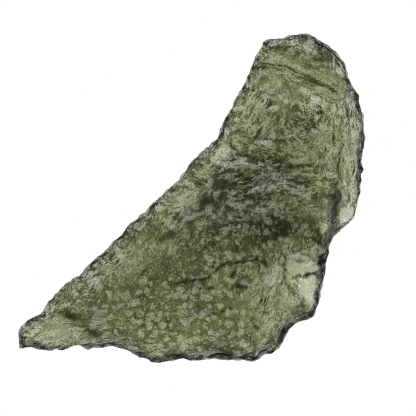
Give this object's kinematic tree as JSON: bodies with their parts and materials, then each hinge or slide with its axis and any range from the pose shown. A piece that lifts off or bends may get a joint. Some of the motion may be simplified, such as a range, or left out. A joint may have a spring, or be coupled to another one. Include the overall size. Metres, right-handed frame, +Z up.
{
  "type": "moldavite shard",
  "caption": "flat shard of natural green glass, with a pointed end, a rounded blunt end and an etched, pitted skin",
  "frame": {"origin": "centre of the shard's outline, on the surface that it lies on", "axes": "+Z up out of the broad face; +X towards the right edge and +Y towards the blunt end, as seen from above"},
  "size_m": [0.0346, 0.0326, 0.0068],
  "materials": {
    "moldavite_glass": "translucent olive-green natural glass, naturally etched, with a satin skin of fine pits and ridges"
  },
  "bodies": {
    "root": {"moldavite_shard": "moldavite_glass"}
  },
  "joints": []
}
